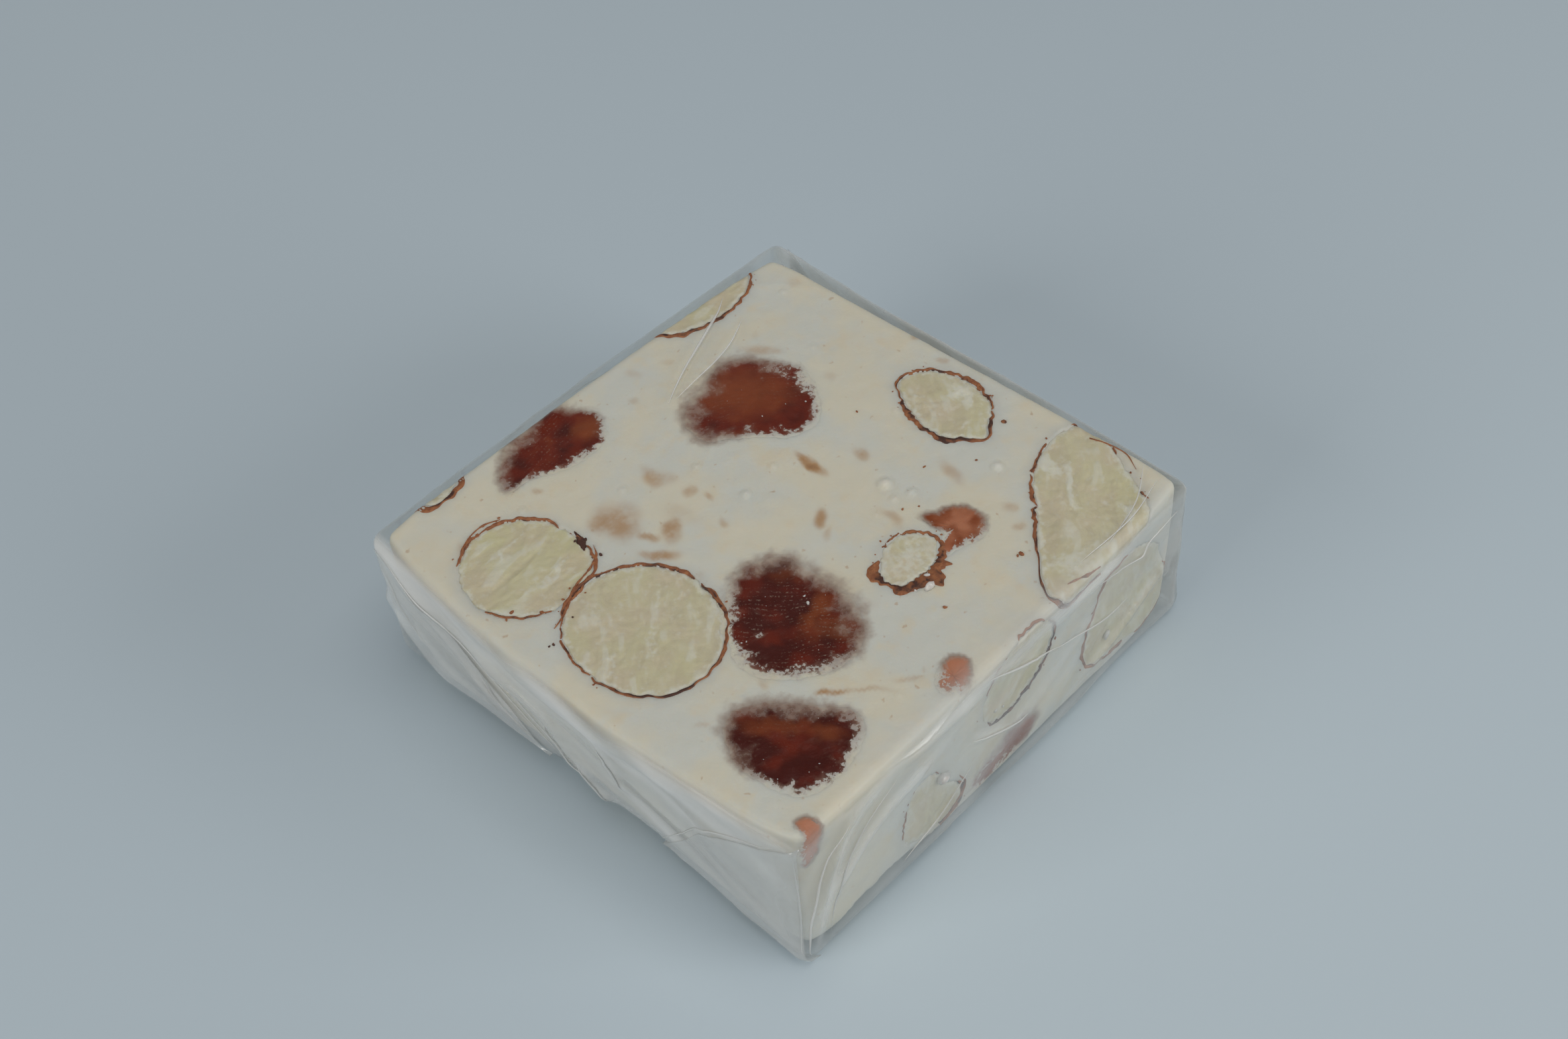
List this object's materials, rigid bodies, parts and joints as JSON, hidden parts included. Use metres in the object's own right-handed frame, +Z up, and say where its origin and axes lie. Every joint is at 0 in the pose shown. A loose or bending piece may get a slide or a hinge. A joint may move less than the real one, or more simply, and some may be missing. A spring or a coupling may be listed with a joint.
{
  "type": "nougat bar",
  "caption": "Square slab of soft white nougat with cut almonds and candied cherries, folded in clear film that is tucked at two opposite ends.",
  "frame": {"origin": "middle of the wrapped bar's box, at the surface that it lies on", "axes": "+Z up; the folded ends of the film face -X and +X, the plain sides of the film sleeve face -Y and +Y"},
  "size_m": [0.044, 0.0422, 0.0147],
  "materials": {
    "nougat": "soft, slightly waxy, cream white with tan and pale red stains",
    "almond_kernel": "cut almond kernel, ivory with paler streaks",
    "almond_skin": "thin rough cinnamon-brown skin",
    "cherry": "dark red candied fruit, moist and slightly see-through, with sugar at its rim",
    "film": "crystal clear glossy cellophane with soft creases"
  },
  "bodies": {
    "root": {"almond_back_side": "almond_kernel", "almond_base": "almond_kernel", "almond_base_round": "almond_kernel", "almond_leaf": "almond_kernel", "almond_left_corner": "almond_kernel", "almond_left_edge": "almond_kernel", "almond_left_side": "almond_kernel", "almond_right_corner": "almond_kernel", "almond_right_large": "almond_kernel", "almond_right_lower": "almond_kernel", "almond_right_upper": "almond_kernel", "almond_round": "almond_kernel", "almond_small": "almond_kernel", "cherry_back": "cherry", "cherry_back_side": "cherry", "cherry_base": "cherry", "cherry_corner": "cherry", "cherry_fleck": "cherry", "cherry_front": "cherry", "cherry_left": "cherry", "cherry_middle": "cherry", "cherry_right_side": "cherry", "cherry_small": "cherry", "film_wrapper": "film", "nougat": "nougat"}
  },
  "joints": []
}
